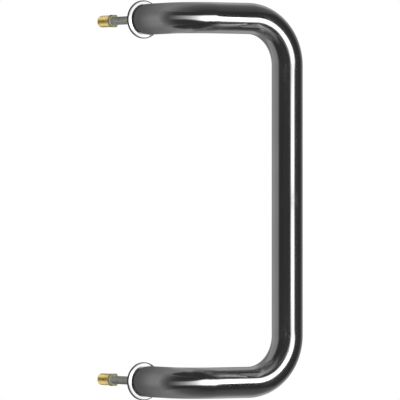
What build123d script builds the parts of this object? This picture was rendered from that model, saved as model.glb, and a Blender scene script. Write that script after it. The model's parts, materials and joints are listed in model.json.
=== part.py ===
from build123d import *
from math import radians, tan
import os

# Door pull handle: a round steel tube bent in space, with a rose and an anchor stud at each end.
# Millimetres. The door's face is the plane y = 0 and the studs run along +Y into the door.
# The handle stands out along -Y and its grip is offset along +X. Z is up, and z = 0 is mid height.

# Bent tube
fixing_centres = 350.0  # between the two studs
projection = 80.0  # door face to the grip's centre line
grip_offset = 114.0  # stud axis to the grip's centre line
tube_d = 30.0
tube_wall = 1.5
crank_bend_r = 30.0  # off the door, at the tube's centre line
grip_bend_r = 45.0  # into the grip, at the tube's centre line

# Roses
rose_rim_w = 3.5  # how far the rose stands out past the tube
rose_t = 2.6  # at the tube
rose_rim_t = 1.6  # at the outer rim, where the coned face ends
rose_edge_r = 1.3  # rounding of that rim
rose_web_t = 1.0  # floor of the recess that the tube's end stands in

# Plugs and set screws inside the tube's ends
plug_l = 30.0
set_screw_back = 15.0  # door face to the screw's axis
set_thread_d = 5.35  # M6 at its pitch diameter
set_screw_sunk = 0.5  # below the tube's surface
set_point_d = 3.0
set_point_l = 1.2
set_key_af = 3.0
set_key_depth = 4.0

# Anchor studs, turned from one bar
head_d = 12.0  # the end that the plug slides over
head_l = 25.0
waist_d = 9.0  # groove that the set screw's point bears in
waist_floor_w = 3.4
pilot_d = 9.0  # centres the rose
stud_d = 8.0  # M8 outside diameter
stud_free_l = 55.2  # door face to the lock nut
stud_thread_d = 7.19  # M8 at its pitch diameter, where the nut and the cone are screwed on
stud_tip_inset = 0.6  # below the cone's end face
stud_bevel = 0.5
key_af = 6.0
key_depth = 6.0

# Lock nuts, expansion sleeves and cones
nut_af = 12.0
nut_t = 2.4
nut_bevel_h = 0.6  # turned off the corners, measured along the stud
nut_bevel_deg = 30.0
sleeve_d = 11.5
sleeve_bore_d = 8.4
sleeve_l = 19.4
sleeve_bevel = 0.6
slit_count = 4
slit_w = 1.2
slit_l = 14.0
mouth_wall = 0.4  # sleeve wall left at its flared mouth
cone_l = 7.0

# Clearances, all on the radius
press_fit = 0.02  # plug in the tube
slip_fit = 0.1  # tube in the rose, stud head in the plug, pilot in the rose
thread_fit = 0.04  # between mating threads
taper_fit = 0.05  # cone in the sleeve's mouth

half_span = fixing_centres / 2
tube_r = tube_d / 2
rose_r = tube_r + rose_rim_w
tube_end = -rose_web_t
nut_front = stud_free_l
sleeve_front = nut_front + nut_t
sleeve_end = sleeve_front + sleeve_l
mouth_r = sleeve_d / 2 - mouth_wall
sleeve_bore_r = sleeve_bore_d / 2

ends = {"upper": half_span, "lower": -half_span}

os.makedirs("parts", exist_ok=True)


def stud_axis(height):
    return Axis((0, 0, height), (0, 1, 0))


def axial_plane(height):
    # local x is the radius from the stud's axis and local y runs into the door
    return Plane.XY.offset(height)


def cross_plane(depth, height):
    # square to the stud's axis, looking into the door
    return Plane(origin=(0, depth, height), x_dir=(1, 0, 0), z_dir=(0, 1, 0))


def screw_plane(height, radius=0.0):
    # square to the set screw, which enters from the grip's side of the stud
    return Plane(origin=(radius, -set_screw_back, height), x_dir=(0, 0, 1), z_dir=(1, 0, 0))


def save(piece, name):
    piece.part.label = name
    export_step(piece.part, f"parts/{name}.step")


# Tube: out from the upper rose, sideways, down the grip, and back to the lower rose
with BuildPart() as handle_tube:
    with BuildLine() as centre_line:
        FilletPolyline(
            (0, tube_end, half_span),
            (0, -projection, half_span),
            (grip_offset, -projection, half_span),
            (grip_offset, -projection, -half_span),
            (0, -projection, -half_span),
            (0, tube_end, -half_span),
            radius=[crank_bend_r, grip_bend_r, grip_bend_r, crank_bend_r],
        )
    with BuildSketch(Plane(origin=centre_line.line @ 0, z_dir=centre_line.line % 0)):
        Circle(tube_r)
        Circle(tube_r - tube_wall, mode=Mode.SUBTRACT)
    sweep()
    for height in ends.values():
        with BuildSketch(screw_plane(height)):
            Circle(set_thread_d / 2 + thread_fit)
        extrude(amount=tube_d, mode=Mode.SUBTRACT)
save(handle_tube, "handle_tube")

for end, height in ends.items():
    # Rose: a coned ring whose recess takes the tube's end, with a floor that the stud clamps to the door
    with BuildPart() as rose:
        with BuildSketch(axial_plane(height)):
            with BuildLine():
                Polyline(
                    (pilot_d / 2 + slip_fit, 0),
                    (rose_r, 0),
                    (rose_r, -rose_rim_t),
                    (tube_r + slip_fit, -rose_t),
                    (tube_r + slip_fit, tube_end),
                    (pilot_d / 2 + slip_fit, tube_end),
                    close=True,
                )
            make_face()
        revolve(axis=stud_axis(height))
        outer_rims = rose.edges().filter_by(GeomType.CIRCLE).sort_by(SortBy.RADIUS)[-2:]
        fillet(outer_rims.sort_by(Axis.Y)[0], radius=rose_edge_r)
    save(rose, f"{end}_rose")

    # End plug: pressed into the tube flush with its end, bored for the stud's head and tapped across
    with BuildPart() as end_plug:
        with BuildSketch(cross_plane(tube_end, height)):
            Circle(tube_r - tube_wall - press_fit)
            Circle(head_d / 2 + slip_fit, mode=Mode.SUBTRACT)
        extrude(amount=-plug_l)
        with BuildSketch(screw_plane(height)):
            Circle(set_thread_d / 2 + thread_fit)
        extrude(amount=tube_d, mode=Mode.SUBTRACT)
    save(end_plug, f"{end}_end_plug")

    # Set screw: hexagon socket, with a blunt cone point that stands in the stud's waist
    point_r = waist_d / 2 + thread_fit
    screw_l = tube_r - set_screw_sunk - point_r
    with BuildPart() as set_screw:
        with BuildSketch(screw_plane(height, point_r + set_point_l)):
            Circle(set_thread_d / 2)
        extrude(amount=screw_l - set_point_l)
        with BuildSketch(screw_plane(height, point_r)):
            Circle(set_point_d / 2)
        with BuildSketch(screw_plane(height, point_r + set_point_l)):
            Circle(set_thread_d / 2)
        loft()
        with BuildSketch(screw_plane(height, point_r + screw_l)):
            RegularPolygon(set_key_af / 2, 6, major_radius=False)
        extrude(amount=-set_key_depth, mode=Mode.SUBTRACT)
    save(set_screw, f"{end}_set_screw")

    # Stud: waisted head inside the handle, pilot through the rose, shank and threaded tip
    head_front = tube_end - head_l
    waist_rise = (head_d - waist_d) / 2
    waist_half = waist_floor_w / 2
    stud_tip = sleeve_end - stud_tip_inset
    with BuildPart() as stud:
        with BuildSketch(axial_plane(height)):
            with BuildLine():
                Polyline(
                    (0, head_front),
                    (head_d / 2 - stud_bevel, head_front),
                    (head_d / 2, head_front + stud_bevel),
                    (head_d / 2, -set_screw_back - waist_half - waist_rise),
                    (waist_d / 2, -set_screw_back - waist_half),
                    (waist_d / 2, -set_screw_back + waist_half),
                    (head_d / 2, -set_screw_back + waist_half + waist_rise),
                    (head_d / 2, tube_end),
                    (pilot_d / 2, tube_end),
                    (pilot_d / 2, 0),
                    (stud_d / 2, 0),
                    (stud_d / 2, stud_free_l),
                    (stud_thread_d / 2, stud_free_l),
                    (stud_thread_d / 2, stud_tip - stud_bevel),
                    (stud_thread_d / 2 - stud_bevel, stud_tip),
                    (0, stud_tip),
                    close=True,
                )
            make_face()
        revolve(axis=stud_axis(height))
        with BuildSketch(cross_plane(head_front, height)):
            RegularPolygon(key_af / 2, 6, major_radius=False)
        extrude(amount=key_depth, mode=Mode.SUBTRACT)
    save(stud, f"{end}_stud")

    # Lock nut: thin hexagon with turned corners, flats level, screwed against the stud's shoulder
    corner_r = nut_af / 3**0.5
    face_r = corner_r - nut_bevel_h / tan(radians(nut_bevel_deg))
    with BuildPart() as turned_blank:
        with BuildSketch(axial_plane(height)):
            with BuildLine():
                Polyline(
                    (0, nut_front),
                    (face_r, nut_front),
                    (corner_r, nut_front + nut_bevel_h),
                    (corner_r, sleeve_front - nut_bevel_h),
                    (face_r, sleeve_front),
                    (0, sleeve_front),
                    close=True,
                )
            make_face()
        revolve(axis=stud_axis(height))
    with BuildPart() as lock_nut:
        with BuildSketch(cross_plane(nut_front, height)):
            RegularPolygon(nut_af / 2, 6, major_radius=False)
            Circle(stud_thread_d / 2 + thread_fit, mode=Mode.SUBTRACT)
        extrude(amount=nut_t)
        add(turned_blank.part, mode=Mode.INTERSECT)
    save(lock_nut, f"{end}_lock_nut")

    # Expansion sleeve: its far end is slit into springy fingers and flared for the cone
    with BuildPart() as sleeve:
        with BuildSketch(axial_plane(height)):
            with BuildLine():
                Polyline(
                    (sleeve_bore_r, sleeve_front),
                    (sleeve_d / 2 - sleeve_bevel, sleeve_front),
                    (sleeve_d / 2, sleeve_front + sleeve_bevel),
                    (sleeve_d / 2, sleeve_end),
                    (mouth_r, sleeve_end),
                    (sleeve_bore_r, sleeve_end - cone_l),
                    close=True,
                )
            make_face()
        revolve(axis=stud_axis(height))
        with BuildSketch(cross_plane(sleeve_end, height)):
            with PolarLocations(0, slit_count):
                Rectangle(sleeve_d, slit_w, align=(Align.MIN, Align.CENTER))
        extrude(amount=-slit_l, mode=Mode.SUBTRACT)
    save(sleeve, f"{end}_expansion_sleeve")

    # Cone: screwed on the stud's tip and drawn into the sleeve's mouth, flush with its end
    with BuildPart() as cone:
        with BuildSketch(axial_plane(height)):
            with BuildLine():
                Polyline(
                    (stud_thread_d / 2 + thread_fit, sleeve_end),
                    (mouth_r - taper_fit, sleeve_end),
                    (sleeve_bore_r - taper_fit, sleeve_end - cone_l),
                    (stud_thread_d / 2 + thread_fit, sleeve_end - cone_l),
                    close=True,
                )
            make_face()
        revolve(axis=stud_axis(height))
    save(cone, f"{end}_expander_cone")
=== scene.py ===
import json
from math import atan2, cos, pi, radians, sin
import bpy
import bmesh
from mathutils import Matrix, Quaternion, Vector

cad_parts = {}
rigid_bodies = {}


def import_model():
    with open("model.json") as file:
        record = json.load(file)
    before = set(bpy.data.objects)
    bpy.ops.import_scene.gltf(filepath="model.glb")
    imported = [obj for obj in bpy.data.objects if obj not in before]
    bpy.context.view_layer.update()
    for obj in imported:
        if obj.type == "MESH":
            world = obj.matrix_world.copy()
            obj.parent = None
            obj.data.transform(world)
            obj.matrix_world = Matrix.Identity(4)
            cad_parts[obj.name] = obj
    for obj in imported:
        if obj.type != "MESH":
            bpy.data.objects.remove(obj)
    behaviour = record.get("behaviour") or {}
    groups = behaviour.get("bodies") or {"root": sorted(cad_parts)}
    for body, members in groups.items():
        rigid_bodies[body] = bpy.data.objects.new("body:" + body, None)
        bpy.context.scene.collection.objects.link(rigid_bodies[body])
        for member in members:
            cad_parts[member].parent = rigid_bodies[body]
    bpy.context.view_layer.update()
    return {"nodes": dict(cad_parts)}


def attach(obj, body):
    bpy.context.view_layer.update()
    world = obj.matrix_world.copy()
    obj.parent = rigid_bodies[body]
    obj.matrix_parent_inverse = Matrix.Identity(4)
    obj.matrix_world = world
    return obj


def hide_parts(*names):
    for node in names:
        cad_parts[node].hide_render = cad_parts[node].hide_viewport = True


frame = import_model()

scene = bpy.context.scene
scene.view_settings.view_transform = "Standard"
cadNodes = frame["nodes"]
print("frame loaded:", len(cadNodes), "nodes")

# Sizes that several pieces share, in metres, as the solids have them
handle = {
    "halfSpan": 0.175,  # mid height to each stud
    "projection": 0.080,
    "gripOffset": 0.114,
    "sharpTurn": 32.0,  # degrees: an edge that turns more stays sharp
}
ends = {"upper": handle["halfSpan"], "lower": -handle["halfSpan"]}


def addNode(tree, kind, **settings):
    node = tree.nodes.new(kind)
    for key, value in settings.items():
        setattr(node, key, value)
    return node


def feed(tree, socket, value):
    # a socket takes either a link or a plain value
    if isinstance(value, bpy.types.NodeSocket):
        tree.links.new(value, socket)
    else:
        socket.default_value = value


def mathNode(tree, operation, first, second=0.0):
    node = addNode(tree, "ShaderNodeMath", operation=operation)
    feed(tree, node.inputs[0], first)
    feed(tree, node.inputs[1], second)
    return node.outputs[0]


def rangeNode(tree, value, fromLow, fromHigh, toLow, toHigh):
    node = addNode(tree, "ShaderNodeMapRange")
    for socket, part in zip(node.inputs, (value, fromLow, fromHigh, toLow, toHigh)):
        feed(tree, socket, part)
    return node.outputs["Result"]


def mixColour(tree, factor, first, second):
    # sockets 6 and 7 and output 2 are the ones for colours
    node = addNode(tree, "ShaderNodeMix", data_type="RGBA")
    feed(tree, node.inputs[0], factor)
    feed(tree, node.inputs[6], first)
    feed(tree, node.inputs[7], second)
    return node.outputs[2]


def splitAxes(tree, vector):
    node = addNode(tree, "ShaderNodeSeparateXYZ")
    feed(tree, node.inputs[0], vector)
    return node.outputs


def aboveStud(tree, axes):
    # height over the nearer stud's axis
    return mathNode(tree, "SUBTRACT", mathNode(tree, "ABSOLUTE", axes["Z"]), handle["halfSpan"])


def newGroup(name, inputs, outputs):
    group = bpy.data.node_groups.new(name, "ShaderNodeTree")
    for label, kind, value in inputs:
        socket = group.interface.new_socket(label, in_out="INPUT", socket_type="NodeSocket" + kind)
        if value is not None:
            socket.default_value = value
    for label, kind in outputs:
        group.interface.new_socket(label, in_out="OUTPUT", socket_type="NodeSocket" + kind)
    return group, addNode(group, "NodeGroupInput").outputs, addNode(group, "NodeGroupOutput").inputs


def useGroup(tree, group, **values):
    node = addNode(tree, "ShaderNodeGroup", node_tree=group)
    for label, value in values.items():
        feed(tree, node.inputs[label], value)
    return node.outputs


# In these patterns low and high are the noise values where the effect starts and is full
linePattern = {"detail": 3.0, "grain": 0.6, "low": 0.3, "high": 0.7}
cloudPattern = {"detail": 4.0, "low": 0.42, "high": 0.68}
ringPattern = {"detail": 2.0, "low": 0.3, "high": 0.7}
edgePattern = {"samples": 4, "turned": 0.75, "spotScale": 900.0, "low": 0.3, "high": 0.6, "least": 0.3}


# Fine lines left by the polishing belt, long in the directions where Stretch is small
def makePolishLines():
    tree, given, made = newGroup(
        "polishLines",
        [("Place", "Vector", None), ("Stretch", "Vector", (900, 900, 9)),
         ("Smooth", "Float", 0.08), ("Rough", "Float", 0.15)],
        [("Roughness", "Float"), ("Height", "Float")],
    )
    spread = addNode(tree, "ShaderNodeVectorMath", operation="MULTIPLY")
    feed(tree, spread.inputs[0], given["Place"])
    feed(tree, spread.inputs[1], given["Stretch"])
    lines = addNode(tree, "ShaderNodeTexNoise")
    feed(tree, lines.inputs["Vector"], spread.outputs[0])
    lines.inputs["Scale"].default_value = 1.0
    lines.inputs["Detail"].default_value = linePattern["detail"]
    lines.inputs["Roughness"].default_value = linePattern["grain"]
    feed(tree, made["Roughness"], rangeNode(tree, lines.outputs[0], linePattern["low"], linePattern["high"],
                                            given["Smooth"], given["Rough"]))
    feed(tree, made["Height"], lines.outputs[0])
    return tree


# Soft cloudy patches: finger haze on polish, uneven plating, tarnish
def makeCloudyFilm():
    tree, given, made = newGroup(
        "cloudyFilm",
        [("Place", "Vector", None), ("Scale", "Float", 30.0), ("Clear", "Color", (0.6, 0.6, 0.6, 1)),
         ("Clouded", "Color", (0.5, 0.5, 0.5, 1))],
        [("Color", "Color"), ("Film", "Float")],
    )
    clouds = addNode(tree, "ShaderNodeTexNoise")
    feed(tree, clouds.inputs["Vector"], given["Place"])
    feed(tree, clouds.inputs["Scale"], given["Scale"])
    clouds.inputs["Detail"].default_value = cloudPattern["detail"]
    film = rangeNode(tree, clouds.outputs[0], cloudPattern["low"], cloudPattern["high"], 0.0, 1.0)
    feed(tree, made["Color"], mixColour(tree, film, given["Clear"], given["Clouded"]))
    feed(tree, made["Film"], film)
    return tree


# Lathe rings round the nearer stud: they follow the radius on a face and the length on a side
def makeLatheRings():
    tree, given, made = newGroup(
        "latheRings",
        [("Place", "Vector", None), ("Rings", "Float", 3000.0),
         ("Smooth", "Float", 0.2), ("Rough", "Float", 0.35)],
        [("Roughness", "Float"), ("Height", "Float"), ("Radius", "Float")],
    )
    axes = splitAxes(tree, given["Place"])
    above = aboveStud(tree, axes)
    square = mathNode(tree, "MULTIPLY", axes["X"], axes["X"])
    square = mathNode(tree, "ADD", square, mathNode(tree, "MULTIPLY", above, above))
    radius = mathNode(tree, "SQRT", square)
    travel = mathNode(tree, "ADD", radius, axes["Y"])
    rings = addNode(tree, "ShaderNodeTexNoise", noise_dimensions="1D")
    feed(tree, rings.inputs["W"], mathNode(tree, "MULTIPLY", travel, given["Rings"]))
    rings.inputs["Scale"].default_value = 1.0
    rings.inputs["Detail"].default_value = ringPattern["detail"]
    feed(tree, made["Roughness"], rangeNode(tree, rings.outputs[0], ringPattern["low"], ringPattern["high"],
                                            given["Smooth"], given["Rough"]))
    feed(tree, made["Height"], rings.outputs[0])
    feed(tree, made["Radius"], radius)
    return tree


# Edges that handling has rubbed bright
def makeRubbedEdges():
    tree, given, made = newGroup(
        "rubbedEdges",
        [("Place", "Vector", None), ("Width", "Float", 0.0003), ("Base", "Color", (0.5, 0.5, 0.5, 1)),
         ("Rubbed", "Color", (0.8, 0.8, 0.8, 1)), ("Amount", "Float", 0.6)],
        [("Color", "Color"), ("Mask", "Float")],
    )
    rounded = addNode(tree, "ShaderNodeBevel", samples=edgePattern["samples"])
    feed(tree, rounded.inputs["Radius"], given["Width"])
    flat = addNode(tree, "ShaderNodeNewGeometry")
    facing = addNode(tree, "ShaderNodeVectorMath", operation="DOT_PRODUCT")
    feed(tree, facing.inputs[0], rounded.outputs[0])
    feed(tree, facing.inputs[1], flat.outputs["Normal"])
    edge = rangeNode(tree, facing.outputs["Value"], edgePattern["turned"], 1.0, given["Amount"], 0.0)
    uneven = addNode(tree, "ShaderNodeTexNoise")
    feed(tree, uneven.inputs["Vector"], given["Place"])
    uneven.inputs["Scale"].default_value = edgePattern["spotScale"]
    spots = rangeNode(tree, uneven.outputs[0], edgePattern["low"], edgePattern["high"],
                      edgePattern["least"], 1.0)
    mask = mathNode(tree, "MULTIPLY", edge, spots)
    feed(tree, made["Color"], mixColour(tree, mask, given["Base"], given["Rubbed"]))
    feed(tree, made["Mask"], mask)
    return tree


polishLines = makePolishLines()
cloudyFilm = makeCloudyFilm()
latheRings = makeLatheRings()
rubbedEdges = makeRubbedEdges()
print("node groups made:", len(bpy.data.node_groups))


def newMetal(name):
    material = bpy.data.materials.new(name)
    material.use_nodes = True
    tree = material.node_tree
    shader = tree.nodes["Principled BSDF"]
    shader.inputs["Metallic"].default_value = 1.0
    return material, tree, shader.inputs


def objectPlace(tree):
    return addNode(tree, "ShaderNodeTexCoord").outputs["Object"]


def dent(tree, sockets, height, strength, depth):
    bump = addNode(tree, "ShaderNodeBump")
    bump.inputs["Strength"].default_value = strength
    bump.inputs["Distance"].default_value = depth
    feed(tree, bump.inputs["Height"], height)
    feed(tree, sockets["Normal"], bump.outputs[0])


tubeFinish = {
    "clear": (0.57, 0.57, 0.575, 1),
    "hazed": (0.52, 0.52, 0.525, 1),
    "hazeScale": 22.0,
    "hazeRoughness": 0.03,
    "lineStretch": (1100.0, 1100.0, 7.0),
    "smooth": 0.10,
    "rough": 0.16,
    "lineBump": 0.05,
    "lineDepth": 0.00002,
}


def makeTubeFinish():
    material, tree, sockets = newMetal("tubePolish")
    place = addNode(tree, "ShaderNodeAttribute", attribute_name="alongTube").outputs["Vector"]
    lines = useGroup(tree, polishLines, Place=place, Stretch=tubeFinish["lineStretch"],
                     Smooth=tubeFinish["smooth"], Rough=tubeFinish["rough"])
    haze = useGroup(tree, cloudyFilm, Place=place, Scale=tubeFinish["hazeScale"],
                    Clear=tubeFinish["clear"], Clouded=tubeFinish["hazed"])
    feed(tree, sockets["Base Color"], haze["Color"])
    duller = mathNode(tree, "MULTIPLY", haze["Film"], tubeFinish["hazeRoughness"])
    feed(tree, sockets["Roughness"], mathNode(tree, "ADD", lines["Roughness"], duller))
    dent(tree, sockets, lines["Height"], tubeFinish["lineBump"], tubeFinish["lineDepth"])
    return material


roseFinish = {
    "face": (0.90, 0.90, 0.90, 1),
    "faceHazed": (0.84, 0.84, 0.84, 1),
    # painted shade: the rim's darker colour
    "rim": (0.34, 0.34, 0.345, 1),
    "rimShadeStart": 0.0170,  # radii between which the coned face's colour turns into the rim's painted shade
    "rimShadeFull": 0.0174,
    "hazeScale": 60.0,
    "rings": 2600.0,
    "smooth": 0.14,
    "rough": 0.22,
    "rimRoughness": 0.12,
    "ringBump": 0.05,
    "ringDepth": 0.00002,
}


def makeRoseFinish():
    # a bright face inside a rim in painted shade, darker for the dark surroundings it mirrors
    material, tree, sockets = newMetal("rosePolish")
    place = objectPlace(tree)
    rings = useGroup(tree, latheRings, Place=place, Rings=roseFinish["rings"],
                     Smooth=roseFinish["smooth"], Rough=roseFinish["rough"])
    haze = useGroup(tree, cloudyFilm, Place=place, Scale=roseFinish["hazeScale"],
                    Clear=roseFinish["face"], Clouded=roseFinish["faceHazed"])
    # painted shade: the colour turns darker from the face out to the rim
    rim = rangeNode(tree, rings["Radius"], roseFinish["rimShadeStart"], roseFinish["rimShadeFull"], 0.0, 1.0)
    feed(tree, sockets["Base Color"], mixColour(tree, rim, haze["Color"], roseFinish["rim"]))
    roughness = rangeNode(tree, rim, 0.0, 1.0, rings["Roughness"], roseFinish["rimRoughness"])
    feed(tree, sockets["Roughness"], roughness)
    dent(tree, sockets, rings["Height"], roseFinish["ringBump"], roseFinish["ringDepth"])
    return material


# The turned and plated small parts share one recipe and differ in these values
brassFinish = {
    "clear": (0.88, 0.69, 0.24, 1), "clouded": (0.75, 0.54, 0.15, 1), "cloudScale": 140.0,
    "rubbed": (0.93, 0.76, 0.42, 1), "edgeWidth": 0.0003, "edgeAmount": 0.6,
    "rings": 4200.0, "smooth": 0.26, "rough": 0.36, "bump": 0.1, "depth": 0.00002,
    # painted shade along the slits: full and none are distances from a slit's middle, and start is the
    # depth where the slits begin
    "slitPaintedShade": {"colour": (0.58, 0.39, 0.07, 1), "full": 0.0006, "none": 0.0028,
                  "start": 0.0600, "amount": 0.6},
}
studFinish = {
    "clear": (0.80, 0.81, 0.76, 1), "clouded": (0.68, 0.69, 0.64, 1), "cloudScale": 160.0,
    "rubbed": (0.66, 0.66, 0.62, 1), "edgeWidth": 0.0002, "edgeAmount": 0.5,
    "rings": 5200.0, "smooth": 0.50, "rough": 0.64, "bump": 0.1, "depth": 0.00003,
}
nutFinish = {
    "clear": (0.66, 0.63, 0.44, 1), "clouded": (0.54, 0.51, 0.32, 1), "cloudScale": 180.0,
    "rubbed": (0.70, 0.68, 0.56, 1), "edgeWidth": 0.0003, "edgeAmount": 0.5,
    "rings": 3600.0, "smooth": 0.34, "rough": 0.50, "bump": 0.2, "depth": 0.00003,
}
plugFinish = {
    "clear": (0.52, 0.52, 0.52, 1), "clouded": (0.43, 0.43, 0.42, 1), "cloudScale": 90.0,
    "rubbed": (0.66, 0.66, 0.66, 1), "edgeWidth": 0.0004, "edgeAmount": 0.5,
    "rings": 2400.0, "smooth": 0.24, "rough": 0.42, "bump": 0.35, "depth": 0.00005,
}
blackFinish = {
    "clear": (0.055, 0.055, 0.06, 1), "clouded": (0.085, 0.08, 0.075, 1), "cloudScale": 300.0,
    "rubbed": (0.30, 0.30, 0.30, 1), "edgeWidth": 0.0003, "edgeAmount": 0.6,
    "rings": 3000.0, "smooth": 0.38, "rough": 0.55, "bump": 0.15, "depth": 0.00003,
}


def slitShadeMask(tree, place, paintedShade):
    # painted shade: darker brass in and beside the sleeve's four slits, which also darkens the sleeve's
    # middle height
    axes = splitAxes(tree, place)
    above = mathNode(tree, "ABSOLUTE", aboveStud(tree, axes))
    beside = mathNode(tree, "MINIMUM", above, mathNode(tree, "ABSOLUTE", axes["X"]))
    near = rangeNode(tree, beside, paintedShade["full"], paintedShade["none"], paintedShade["amount"], 0.0)
    return mathNode(tree, "MULTIPLY", near, mathNode(tree, "GREATER_THAN", axes["Y"], paintedShade["start"]))


def makeTurnedFinish(name, look):
    material, tree, sockets = newMetal(name)
    place = objectPlace(tree)
    film = useGroup(tree, cloudyFilm, Place=place, Scale=look["cloudScale"],
                    Clear=look["clear"], Clouded=look["clouded"])
    worn = useGroup(tree, rubbedEdges, Place=place, Width=look["edgeWidth"], Base=film["Color"],
                    Rubbed=look["rubbed"], Amount=look["edgeAmount"])
    rings = useGroup(tree, latheRings, Place=place, Rings=look["rings"],
                     Smooth=look["smooth"], Rough=look["rough"])
    colour = worn["Color"]
    # painted shade along the brass sleeve's slits
    if "slitPaintedShade" in look:
        paintedShade = look["slitPaintedShade"]
        colour = mixColour(tree, slitShadeMask(tree, place, paintedShade), colour, paintedShade["colour"])
    feed(tree, sockets["Base Color"], colour)
    feed(tree, sockets["Roughness"], rings["Roughness"])
    dent(tree, sockets, rings["Height"], look["bump"], look["depth"])
    return material


tubePolish = makeTubeFinish()
rosePolish = makeRoseFinish()
turnedBrass = makeTurnedFinish("turnedBrass", brassFinish)
studZinc = makeTurnedFinish("studZinc", studFinish)
nutZinc = makeTurnedFinish("nutZinc", nutFinish)
plugSteel = makeTurnedFinish("plugSteel", plugFinish)
blackOxide = makeTurnedFinish("blackOxide", blackFinish)
print("finishes made:", len(bpy.data.materials))


def placePiece(name, work, material, slot, *nodes):
    # turns a bmesh into a smooth piece that stands for the named CAD nodes
    bmesh.ops.recalc_face_normals(work, faces=work.faces)
    mesh = bpy.data.meshes.new(name)
    work.to_mesh(mesh)
    work.free()
    mesh.polygons.foreach_set("use_smooth", [True] * len(mesh.polygons))
    mesh.set_sharp_from_angle(angle=radians(handle["sharpTurn"]))
    mesh.materials.append(material)
    piece = bpy.data.objects.new(name, mesh)
    scene.collection.objects.link(piece)
    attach(piece, "root")
    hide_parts(*nodes)
    return piece


tube = {
    "radius": 0.015,
    "wall": 0.0015,
    "endDepth": 0.0010,  # door face to the tube's end, inside the rose
    "crankBend": 0.030,
    "gripBend": 0.045,
    "around": 72,  # points in each ring
    "bendSteps": 36,
    "runStep": 0.010,  # between rings on a straight
    "screwBack": 0.015,  # door face to the set screw's axis
    "screwHole": 0.002715,
    "patchHalf": 0.0045,  # half of the square patch round that hole, along the tube
    "patchSteps": 6,  # quads across the patch each way
    "stubSteps": 3,  # from the patch to the bend
}


# Rings along the bent centre line: centre, direction, where angle 0 points, distance run.
# Also the first ring of each patch that a set screw's hole is cut in.
def tubeRings():
    reach, side, high = handle["projection"], handle["gripOffset"], handle["halfSpan"]
    corners = [Vector(c) for c in (
        (0, -tube["endDepth"], high), (0, -reach, high), (side, -reach, high),
        (side, -reach, -high), (0, -reach, -high), (0, -tube["endDepth"], -high))]
    bends = [0, tube["crankBend"], tube["gripBend"], tube["gripBend"], tube["crankBend"], 0]
    lastRun = len(corners) - 2
    patchNear = tube["screwBack"] - tube["patchHalf"] - tube["endDepth"]
    patchStep = 2 * tube["patchHalf"] / tube["patchSteps"]
    patch = [patchNear + patchStep * k for k in range(tube["patchSteps"] + 1)]
    lead = [0.0, patchNear / 2]  # rings before the patch
    rings, run = [], 0.0
    normal = Vector((1, 0, 0))
    for i in range(lastRun + 1):
        ahead = (corners[i + 1] - corners[i]).normalized()
        start = corners[i] + ahead * bends[i]
        length = (corners[i + 1] - ahead * bends[i + 1] - start).length
        steps = max(2, round(length / tube["runStep"]))
        marks = [length * k / steps for k in range(steps + 1)]
        if i in (0, lastRun):  # a stub, with even steps across its patch
            left = (length - patch[-1]) / tube["stubSteps"]
            marks = lead + patch + [patch[-1] + left * k for k in range(1, tube["stubSteps"] + 1)]
        if i == lastRun:
            marks = [length - m for m in reversed(marks)]
        for mark in marks[1:] if rings else marks:
            rings.append((start + ahead * mark, ahead.copy(), normal.copy(), run + mark))
        run += length
        if i < lastRun:
            onward = (corners[i + 2] - corners[i + 1]).normalized()
            hinge, radius = ahead.cross(onward), bends[i + 1]
            centre = corners[i + 1] + (onward - ahead) * radius
            for k in range(1, tube["bendSteps"] + 1):
                angle = pi / 2 * k / tube["bendSteps"]
                turn = Quaternion(hinge, angle)
                place = centre + turn @ (-onward * radius)
                rings.append((place, turn @ ahead, turn @ normal, run + radius * angle))
            normal = Quaternion(hinge, pi / 2) @ normal
            run += radius * pi / 2
    return rings, (len(lead), len(rings) - len(lead) - len(patch))


def makeTube():
    rings, patches = tubeRings()
    count, steps = tube["around"], tube["patchSteps"]
    half = steps // 2
    radii = (tube["radius"], tube["radius"] - tube["wall"])
    work = bmesh.new()
    along = work.verts.layers.float_vector.new("alongTube")

    def addPoint(ring, shift, angle, radius):
        # on a ring, or shifted from it along the tube
        centre, ahead, normal, run = ring
        spoke = normal * cos(angle) + ahead.cross(normal) * sin(angle)
        vert = work.verts.new(centre + ahead * shift + spoke * radius)
        vert[along] = (radius * cos(angle), radius * sin(angle), run + shift)
        return vert

    def insidePatch(r, s):
        # the hole's own points take the place of these
        return any(first < r < first + steps for first in patches) and (s < half or s > count - half)

    skins = []
    for radius in radii:
        skin = []
        for r, ring in enumerate(rings):
            row = []
            for s in range(count):
                row.append(None if insidePatch(r, s) else addPoint(ring, 0.0, 2 * pi * s / count, radius))
            skin.append(row)
        skins.append(skin)
        for r in range(len(rings) - 1):
            patched = any(first <= r < first + steps for first in patches)
            for s in range(count):
                t = (s + 1) % count
                if not (patched and (s < half or s >= count - half)):
                    work.faces.new((skin[r][s], skin[r][t], skin[r + 1][t], skin[r + 1][s]))
    for r in (0, -1):  # flat ends
        for s in range(count):
            t = (s + 1) % count
            work.faces.new((skins[0][r][s], skins[0][r][t], skins[1][r][t], skins[1][r][s]))

    for first in patches:  # round hole inside each square patch, through both skins
        last = first + steps
        edges = [(first + k, -half) for k in range(steps)]
        edges += [(last, -half + k) for k in range(steps)]
        edges += [(last - k, half) for k in range(steps)]
        edges += [(first, half - k) for k in range(steps)]
        middle = rings[first + half]
        rims = []
        for skin, radius in zip(skins, radii):
            rim = []
            for r, s in edges:
                lean = atan2(radius * 2 * pi * s / count, rings[r][3] - middle[3])
                shift, side = tube["screwHole"] * cos(lean), tube["screwHole"] * sin(lean)
                angle = atan2(side, (radius * radius - side * side) ** 0.5)
                rim.append(addPoint(middle, shift, angle, radius))
            border = [skin[r][s % count] for r, s in edges]
            for k in range(len(edges)):
                n = (k + 1) % len(edges)
                work.faces.new((border[k], border[n], rim[n], rim[k]))
            rims.append(rim)
        for k in range(len(edges)):
            n = (k + 1) % len(edges)
            work.faces.new((rims[0][k], rims[0][n], rims[1][n], rims[1][k]))
    return placePiece("handleTube", work, tubePolish, "polished_tube", "handle_tube")


makeTube()

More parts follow.
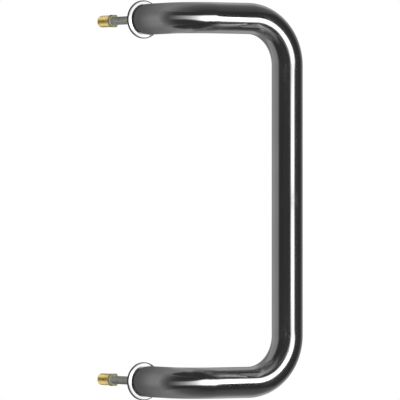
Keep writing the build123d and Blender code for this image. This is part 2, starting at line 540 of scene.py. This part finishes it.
stud = {
    "around": 48,
    "headRadius": 0.006, "headFront": -0.0260, "bevel": 0.0005,
    "waistRadius": 0.0045, "waistBack": 0.015, "waistFloor": 0.0034,
    "pilotRadius": 0.0045, "pilotStart": -0.0010,
    "keyFlats": 0.006, "keyDepth": 0.006,
    "crest": 0.004, "pitch": 0.00125, "threadDepth": 0.00074,
    "crestHalf": 0.0625, "flank": 0.3125,  # half of the flat crest and a whole flank, in pitches
    "plainRadius": 0.003595,  # inside the nut and the cone
    "freeEnd": 0.0552, "sleeveStart": 0.0580, "sleeveEnd": 0.0696, "tip": 0.0764,
    "stepsPerTurn": 10,
}


def threadRadius(y, angle):
    # a V thread with a flat crest and a wider flat root, right handed into the door
    phase = (y / stud["pitch"] - angle / (2 * pi)) % 1.0
    rise = min(max((abs(phase - 0.5) - stud["crestHalf"]) / stud["flank"], 0.0), 1.0)
    return stud["crest"] - stud["threadDepth"] * rise


def makeStud(end, height):
    count = stud["around"]
    angles = [2 * pi * s / count for s in range(count)]

    def hexagon(angle):
        return stud["keyFlats"] / 2 / cos((angle + pi / 6) % (pi / 3) - pi / 6)

    def plain(radius):
        return lambda angle: radius

    head, waist, pilot = plain(stud["headRadius"]), plain(stud["waistRadius"]), plain(stud["pilotRadius"])
    bar = plain(stud["plainRadius"])
    waistRise = stud["headRadius"] - stud["waistRadius"]
    nearWaist = -stud["waistBack"] - stud["waistFloor"] / 2
    farWaist = -stud["waistBack"] + stud["waistFloor"] / 2
    front = stud["headFront"]
    rows = [
        (front + stud["keyDepth"], hexagon), (front, hexagon),
        (front, plain(stud["headRadius"] - stud["bevel"])), (front + stud["bevel"], head),
        (nearWaist - waistRise, head), (nearWaist, waist), (farWaist, waist), (farWaist + waistRise, head),
        (stud["pilotStart"], head), (stud["pilotStart"], pilot), (0.0, pilot),
    ]

    def addThread(start, stop):
        # the thread grows out of the plain bar over one turn and dies away over the last
        steps = round((stop - start) / stud["pitch"] * stud["stepsPerTurn"])
        rows.append((start, bar))
        for k in range(1, steps):
            y = start + (stop - start) * k / steps
            share = min(1.0, (y - start) / stud["pitch"], (stop - y) / stud["pitch"])
            rows.append((y, lambda angle, y=y, share=share: stud["plainRadius"]
                         + share * (threadRadius(y, angle) - stud["plainRadius"])))
        rows.append((stop, bar))

    addThread(0.0, stud["freeEnd"])
    addThread(stud["sleeveStart"], stud["sleeveEnd"])
    rows += [(stud["tip"] - stud["bevel"], bar), (stud["tip"], plain(stud["plainRadius"] - stud["bevel"]))]

    work = bmesh.new()
    rings = [[work.verts.new((radius(a) * sin(a), y, height + radius(a) * cos(a))) for a in angles]
             for y, radius in rows]
    for near, far in zip(rings, rings[1:]):
        for s in range(count):
            t = (s + 1) % count
            work.faces.new((near[s], near[t], far[t], far[s]))
    for ring, y in ((rings[0], rows[0][0]), (rings[-1], rows[-1][0])):  # socket floor and tip
        middle = work.verts.new((0, y, height))
        for s in range(count):
            work.faces.new((ring[s], ring[(s + 1) % count], middle))
    return placePiece(end + "ThreadedStud", work, studZinc, "plated_stud", end + "_stud")


for end, height in ends.items():
    makeStud(end, height)

# The other solids keep their CAD shape and get a finish
finishes = {
    "rose": rosePolish,
    "end_plug": plugSteel,
    "set_screw": blackOxide,
    "lock_nut": nutZinc,
    "expansion_sleeve": turnedBrass,
    "expander_cone": turnedBrass,
}
for end in ends:
    for part, material in finishes.items():
        cadNodes[end + "_" + part].material_slots[0].material = material
print("finishes placed on", len(finishes) * len(ends), "solids")

camera = {
    "turn": -32.0,  # degrees round the handle from straight on
    "distance": 5.400783,
    "sideways": 0.054831,
    "height": 0.000387,
    "focal": 5583.624,  # in pixels of a picture 400 wide
    "pictureWidth": 400,
    "sensor": 36.0,
    "sight": 50.0,  # how far it sees
}


def makeCamera():
    turn = radians(camera["turn"])
    right, look = Vector((cos(turn), sin(turn), 0)), Vector((-sin(turn), cos(turn), 0))
    lens = bpy.data.cameras.new("viewCamera")
    lens.sensor_width = camera["sensor"]
    lens.lens = camera["focal"] * camera["sensor"] / camera["pictureWidth"]
    lens.clip_end = camera["sight"]
    eye = bpy.data.objects.new("viewCamera", lens)
    scene.collection.objects.link(eye)
    eye.location = right * camera["sideways"] - look * camera["distance"] + Vector((0, 0, camera["height"]))
    eye.rotation_euler = look.to_track_quat("-Z", "Y").to_euler()
    scene.camera = eye


makeCamera()
print("camera placed")

# A round tent that only the metal sees, by degrees from straight in front and tones: dark in front,
# grey at the sides and behind
studio = {
    "middle": Vector((0.06, -0.05, 0.0)),
    "tentRadius": 8.0,
    "tentTones": ((0, 0.045), (50, 0.055), (63, 0.09), (78, 0.12), (90, 0.15), (102, 0.22), (120, 0.30),
                  (138, 0.28), (150, 0.22), (162, 0.32), (180, 0.40)),
    "tentStep": 5.0,  # degrees between its rings
    "cardStep": 3.0,  # degrees between the columns of a round card
    "shelfSteps": 24,
    "around": 48,  # points in the rings of the tent and the ring shades
    "ambient": 0.55,
    "floorHeight": -0.30,
    "floorRadius": 1.1,
    "floorSolid": 0.55,  # share of that radius inside which the floor doesn't fade
    "floorAround": 64,
    "floorColour": (0.80, 0.80, 0.80, 1),
    "floorRoughness": 0.9,
}
# Upright lines that cards and shelves are struck about
midLine = (studio["middle"][0], studio["middle"][1])
crankLine = (0.01, -0.07)
gripLine = (handle["gripOffset"], -handle["projection"])

# Round cards by stops: degrees from straight in front, tone, lowest and highest point. The edges fade
# over the soft width. A card that covers hides what is behind it, and any other adds its glow.
cards = {
    "darkLeft": {
        "about": midLine, "radius": 1.2, "covers": 1, "soft": 0.1,
        "stops": ((-146, 0.27, -1.0, 1.0), (-130, 0.23, -1.0, 1.0), (-110, 0.12, -1.0, 1.0),
                  (-92, 0.06, -1.0, 1.0), (-70, 0.045, -1.0, 1.0), (-4, 0.045, -1.0, 1.0))},
    "stubGlow": {
        "about": midLine, "radius": 1.1, "covers": 0, "soft": 0.35,
        "stops": ((-176, 0, -0.25, 0.25), (-160, 0.09, -0.25, 0.25), (-142, 0.09, -0.25, 0.25),
                  (-124, 0, -0.25, 0.25))},
    "darkRight": {
        "about": midLine, "radius": 1.2, "covers": 1, "soft": 0.1,
        "stops": ((20, 0.045, -1.0, 1.0), (72, 0.04, -1.0, 1.0), (86, 0.10, -1.0, 1.0),
                  (100, 0.2, -1.0, 1.0))},
    "softbox": {
        "about": midLine, "radius": 0.90, "covers": 0, "soft": 0.04,
        "stops": ((-6, 0, -0.14, 0.14), (0, 1.4, -0.14, 0.14), (4, 2.2, -0.14, 0.14),
                  (14, 2.2, -0.15, 0.15), (24, 2.2, -0.19, 0.19), (40, 2.2, -0.20, 0.20),
                  (44, 0, -0.20, 0.20))},
    "upperCrankGlow": {
        "about": crankLine, "radius": 0.10, "covers": 0, "soft": 0.012,
        "stops": ((-108, 0.0, 0.165, 0.190), (-95, 0.10, 0.163, 0.190), (-80, 0.24, 0.162, 0.190),
                  (-60, 0.48, 0.160, 0.189), (-45, 0.78, 0.156, 0.187), (-30, 1.2, 0.149, 0.187),
                  (-18, 1.8, 0.141, 0.187), (-5, 2.2, 0.136, 0.188), (6, 2.2, 0.136, 0.187),
                  (16, 2.2, 0.142, 0.187), (26, 0, 0.146, 0.187))},
    "upperArmGlow": {
        "about": gripLine, "radius": 0.115, "covers": 0, "soft": 0.008,
        "stops": ((-46, 0, 0.15, 0.182), (-40, 2.2, 0.15, 0.184), (-18, 2.2, 0.15, 0.184),
                  (-4, 2.2, 0.15, 0.176), (8, 2.2, 0.142, 0.168), (17, 2.2, 0.138, 0.157),
                  (23, 1.0, 0.138, 0.149), (27, 0, 0.138, 0.146))},
    "upperCornerShade": {
        "about": gripLine, "radius": 0.05, "covers": 1, "soft": 0.002,
        "stops": ((-62, 0.05, 0.133, 0.150), (-50, 0.05, 0.133, 0.153), (-40, 0.05, 0.133, 0.152),
                  (-28, 0.05, 0.134, 0.150), (-23, 0.05, 0.141, 0.148), (-15, 0.05, 0.140, 0.144),
                  (-8, 0.08, 0.135, 0.137))},
    "gripShadeLeft": {
        "about": gripLine, "radius": 0.12, "covers": 1, "soft": 0.010,
        "stops": ((-152, 0.44, -0.13, 0.13), (-141, 0.44, -0.13, 0.13), (-132, 0.36, -0.13, 0.13),
                  (-105, 0.35, -0.13, 0.13), (-99, 0.28, -0.13, 0.13), (-94, 0.10, -0.13, 0.13),
                  (-88, 0.05, -0.13, 0.13), (-75, 0.04, -0.137, 0.137), (-44, 0.05, -0.137, 0.137),
                  (-32, 0.05, -0.115, 0.115), (-14, 0.05, -0.115, 0.115), (-9, 0.3, -0.115, 0.115))},
    "gripShadeRight": {
        "about": gripLine, "radius": 0.12, "covers": 1, "soft": 0.012,
        "stops": ((16, 1.6, -0.13, 0.13), (20, 0.2, -0.19, 0.19), (25, 0.07, -0.24, 0.24),
                  (40, 0.05, -0.24, 0.24), (72, 0.04, -0.24, 0.24), (86, 0.10, -0.24, 0.24))},
    "shelfCollar": {  # hides the corner shelves from the grip
        "about": gripLine, "radius": 0.03, "covers": 1, "soft": 0.003,
        "stops": ((-54, 0.05, -0.068, 0.068), (-16, 0.05, -0.068, 0.068))},
    "upperRimGlow": {
        "about": midLine, "radius": 1.2, "covers": 0, "soft": 0.2,
        "stops": ((104, 0, 0.6, 1.5), (118, 0.2, 0.6, 1.5), (146, 0.2, 0.6, 1.5), (158, 0, 0.6, 1.5))},
}


def mirrored(facts):
    # the same card the other way up, for the lower arm
    return dict(facts, stops=tuple((turn, tone, -high, -low) for turn, tone, low, high in facts["stops"]))


for name in ("CrankGlow", "ArmGlow", "CornerShade", "RimGlow"):
    cards["lower" + name] = mirrored(cards["upper" + name])


def stageMesh(name, points, faces, shades, material):
    # the shades are pairs: the tone, and how much shows through
    mesh = bpy.data.meshes.new(name)
    mesh.from_pydata(points, [], faces)
    layer = mesh.attributes.new("shade", "FLOAT_VECTOR", "POINT")
    layer.data.foreach_set("vector", [part for tone, through in shades for part in (tone, through, 0.0)])
    mesh.materials.append(material)
    thing = bpy.data.objects.new(name, mesh)
    scene.collection.objects.link(thing)
    return thing


def reflectionOnly(thing):
    # seen in the metal, but not by the camera, and it casts no shade
    thing.visible_camera = False
    thing.visible_diffuse = False
    thing.visible_transmission = False
    thing.visible_volume_scatter = False
    thing.visible_shadow = False


def shadeParts(tree):
    return splitAxes(tree, addNode(tree, "ShaderNodeAttribute", attribute_name="shade").outputs["Vector"])


def makeCardPaint():
    material = bpy.data.materials.new("cardPaint")
    material.use_nodes = True
    tree = material.node_tree
    tree.nodes.clear()
    parts = shadeParts(tree)
    glow, through = addNode(tree, "ShaderNodeEmission"), addNode(tree, "ShaderNodeBsdfTransparent")
    feed(tree, glow.inputs["Strength"], parts["X"])
    feed(tree, through.inputs["Color"], parts["Y"])
    both = addNode(tree, "ShaderNodeAddShader")
    feed(tree, both.inputs[0], glow.outputs[0])
    feed(tree, both.inputs[1], through.outputs[0])
    feed(tree, addNode(tree, "ShaderNodeOutputMaterial").inputs["Surface"], both.outputs[0])
    return material


cardPaint = makeCardPaint()


def finer(stops, step):
    # the stops with more between them, so that a card is round
    rows = [stops[0]]
    for first, second in zip(stops, stops[1:]):
        parts = max(1, round((second[0] - first[0]) / step))
        rows += [tuple(a + (b - a) * k / parts for a, b in zip(first, second)) for k in range(1, parts + 1)]
    return rows


def gridFaces(rows, columns, closed=False, start=0):
    # quads between rows of points that follow each other in one list
    faces = []
    for r in range(rows - 1):
        near, far = start + r * columns, start + (r + 1) * columns
        for c in range(columns if closed else columns - 1):
            n = (c + 1) % columns
            faces.append((near + c, near + n, far + n, far + c))
    return faces


def placeAbout(line, radius, degrees, level):
    return (line[0] + radius * sin(radians(degrees)), line[1] - radius * cos(radians(degrees)), level)


def makeCard(name, facts):
    points, shades = [], []
    stops = finer(facts["stops"], studio["cardStep"])
    shares = (0, 1, 1, 0)  # of the tone, up each column of points
    for turn, tone, low, high in stops:
        for level, share in zip((low - facts["soft"], low, high, high + facts["soft"]), shares):
            points.append(placeAbout(facts["about"], facts["radius"], turn, level))
            shades.append((tone * share, 1 - facts["covers"] * share))
    faces = gridFaces(len(stops), len(shares))
    reflectionOnly(stageMesh(name, points, faces, shades, cardPaint))


def makeTent():
    around, points, shades = studio["around"], [], []
    tilts = finer(studio["tentTones"], studio["tentStep"])
    for tilt, tone in tilts:
        out, ahead = sin(radians(tilt)), cos(radians(tilt))
        for k in range(around):
            turn = 2 * pi * k / around
            spoke = Vector((out * sin(turn), -ahead, out * cos(turn)))
            points.append(studio["middle"] + spoke * studio["tentRadius"])
            shades.append((tone, 0.0))
    faces = gridFaces(len(tilts), around, closed=True)
    reflectionOnly(stageMesh("tent", points, faces, shades, cardPaint))


# Level shelves by stops of radius and the tones where the shelf starts and ends. A lifted one is a pair,
# as far above mid height as below, and one with a through value adds its glow to what is behind it.
# The first two keep each crank from mirroring the other, and the rest light the undersides of the arms.
shelves = {
    "crankShelf": {
        "about": crankLine, "from": -130, "to": 12, "lift": 0.0,
        "stops": ((0.006, 0.05, 0.05), (0.155, 0.05, 0.05))},
    "armShelf": {
        "about": crankLine, "from": 12, "to": 48, "lift": 0.0,
        "stops": ((0.006, 0.05, 0.10), (0.05, 0.05, 0.16), (0.075, 0.05, 0.28), (0.155, 0.05, 0.28))},
    "cornerShelf": {
        "about": gripLine, "from": -52, "to": -9, "lift": 0.06,
        "stops": ((0.03, 0.07, 0.18), (0.05, 0.10, 0.20), (0.065, 0.07, 0.22), (0.08, 0.06, 0.33),
                  (0.095, 0.06, 0.36), (0.11, 0.05, 0.24), (0.118, 0.05, 0.10))},
    "streakShelf": {
        "about": gripLine, "from": -9, "to": 36, "lift": 0.06, "through": 1.0,
        "stops": ((0.06, 0.0, 0.0), (0.08, 0.0, 0.26), (0.095, 0.0, 0.36), (0.108, 0.0, 0.26),
                  (0.118, 0.0, 0.0))},
    "innerShelf": {
        "about": gripLine, "from": -9, "to": 18, "lift": 0.001, "through": 1.0,
        "stops": ((0.02, 0.10, 0.10), (0.05, 0.12, 0.12), (0.08, 0.12, 0.12))},
    "gripShelf": {
        "about": gripLine, "from": -9, "to": 50, "lift": 0.001,
        "stops": ((0.08, 0.20, 0.12), (0.105, 0.36, 0.36), (0.155, 0.36, 0.36), (0.18, 0.16, 0.16),
                  (0.20, 0.06, 0.06), (0.32, 0.06, 0.06))},
}


def makeShelf(name, facts):
    points, faces, shades = [], [], []
    steps, lift = studio["shelfSteps"], facts["lift"]
    for level in (lift, -lift) if lift else (lift,):
        faces += gridFaces(steps + 1, len(facts["stops"]), start=len(points))
        for k in range(steps + 1):
            turn = facts["from"] + (facts["to"] - facts["from"]) * k / steps
            for radius, first, last in facts["stops"]:
                points.append(placeAbout(facts["about"], radius, turn, level))
                shades.append((first + (last - first) * k / steps, facts.get("through", 0.0)))
    reflectionOnly(stageMesh(name, points, faces, shades, cardPaint))


# Rings of shade about each stud, by stops of radius, depth, tone and how much shows through: one lies
# on the door round the rose, and one stands round the anchor behind the door
ringShades = {
    "DoorShade": ((0.0186, 0.002, 0.13, 0.0), (0.026, 0.002, 0.15, 0.0), (0.040, 0.002, 0.0, 1.0)),
    "AnchorShade": ((0.035, 0.062, 0.34, 0.0), (0.035, 0.150, 0.34, 0.0)),
}


def makeRingShade(name, stops, height):
    around, points, shades = studio["around"], [], []
    for radius, depth, tone, through in stops:
        for k in range(around):
            turn = 2 * pi * k / around
            points.append((radius * cos(turn), depth, height + radius * sin(turn)))
            shades.append((tone, through))
    faces = gridFaces(len(stops), around, closed=True)
    reflectionOnly(stageMesh(name, points, faces, shades, cardPaint))


makeTent()
for name, facts in shelves.items():
    makeShelf(name, facts)
for end, height in ends.items():
    for name, stops in ringShades.items():
        makeRingShade(end + name, stops, height)
for name, facts in cards.items():
    makeCard(name, facts)
print("stage made:", len(cards), "cards and", len(shelves), "shelves")


def makeFloor():
    material = bpy.data.materials.new("paleFloor")
    material.use_nodes = True
    tree = material.node_tree
    paint = tree.nodes["Principled BSDF"]
    paint.inputs["Base Color"].default_value = studio["floorColour"]
    paint.inputs["Roughness"].default_value = studio["floorRoughness"]
    clear = addNode(tree, "ShaderNodeBsdfTransparent")
    blend = addNode(tree, "ShaderNodeMixShader")
    feed(tree, blend.inputs[0], shadeParts(tree)["Y"])  # how much shows through: all of it at the rim
    feed(tree, blend.inputs[1], paint.outputs[0])
    feed(tree, blend.inputs[2], clear.outputs[0])
    feed(tree, tree.nodes["Material Output"].inputs["Surface"], blend.outputs[0])
    around, level = studio["floorAround"], studio["floorHeight"]
    points, faces, shades = [midLine + (level,)], [], [(1.0, 0.0)]
    for share, through in ((studio["floorSolid"], 0.0), (1.0, 1.0)):
        for k in range(around):
            turn = 2 * pi * k / around
            points.append((midLine[0] + studio["floorRadius"] * share * cos(turn),
                           midLine[1] + studio["floorRadius"] * share * sin(turn), level))
            shades.append((1.0, through))
    for k in range(around):
        n = (k + 1) % around
        faces.append((0, 1 + k, 1 + n))
        faces.append((1 + k, 1 + around + k, 1 + around + n, 1 + n))
    floor = stageMesh("paleFloor", points, faces, shades, material)
    floor.visible_glossy = False


makeFloor()


def makeWorld():
    # white where it is seen, and dimmer as light
    world = bpy.data.worlds.new("whiteRoom")
    scene.world = world
    world.use_nodes = True
    tree = world.node_tree
    glow = tree.nodes["Background"]
    glow.inputs["Color"].default_value = (1, 1, 1, 1)
    rays = addNode(tree, "ShaderNodeLightPath").outputs
    seen = mathNode(tree, "MAXIMUM", rays["Is Camera Ray"], rays["Is Glossy Ray"])
    seen = mathNode(tree, "MAXIMUM", seen, rays["Is Transmission Ray"])
    feed(tree, glow.inputs["Strength"], rangeNode(tree, seen, 0.0, 1.0, studio["ambient"], 1.0))


makeWorld()
print("floor and room made")

# Lamps that the metal doesn't mirror, and seven that light only the parts they name
brassParts = ("_expansion_sleeve", "_expander_cone")
lamps = {
    "frontSoftbox": {"place": (0.35, -0.95, 0.35), "size": 0.7, "power": 9.0},
    "overheadSoftbox": {"place": (-0.2, -0.2, 1.3), "size": 1.2, "power": 14.0},
    "roseLight": {"place": (0.45, -1.50, 0.0), "size": 3.4, "power": 38.0, "only": ("_rose",)},
    "highBrassLight": {"place": (-0.60, 2.60, 1.55), "size": 1.8, "power": 6.5, "only": brassParts},
    "lowBrassLight": {"place": (-0.60, 2.60, -1.55), "size": 1.8, "power": 6.5, "only": brassParts},
    "sideBrassLight": {"place": (1.50, 0.10, 0.50), "size": 1.2, "power": 5.0, "only": brassParts},
    "topBrassLight": {"place": (0.30, 0.80, 1.40), "size": 0.9, "power": 3.0, "only": brassParts},
    "nutLight": {"place": (0.85, -1.30, 0.0), "size": 1.5, "power": 5.0, "only": ("_lock_nut",)},
    "threadLight": {"place": (-1.10, 0.10, 0.10), "size": 2.6, "power": 8.4, "only": ("ThreadedStud",),
                    "shadedBy": ("_expansion_sleeve", "_lock_nut")},
}


def partsNamed(name, endings):
    group = bpy.data.collections.new(name)
    for thing in bpy.data.objects:
        if thing.name.endswith(endings):
            group.objects.link(thing)
    return group


def makeLamps():
    for name, facts in lamps.items():
        light = bpy.data.lights.new(name, "AREA")
        light.size = facts["size"]
        light.energy = facts["power"]
        lamp = bpy.data.objects.new(name, light)
        scene.collection.objects.link(lamp)
        lamp.location = facts["place"]
        aim = studio["middle"] - lamp.location
        lamp.rotation_euler = aim.to_track_quat("-Z", "Y").to_euler()
        lamp.visible_camera = False
        lamp.visible_glossy = "only" in facts
        if "only" in facts:
            lit = partsNamed(name + "Parts", facts["only"])
            shading = partsNamed(name + "Shade", facts["only"] + facts.get("shadedBy", ()))
            lamp.light_linking.receiver_collection = lit
            lamp.light_linking.blocker_collection = shading
            print(name, "lights", len(lit.objects), "parts")


makeLamps()
print("lamps made:", len(lamps))
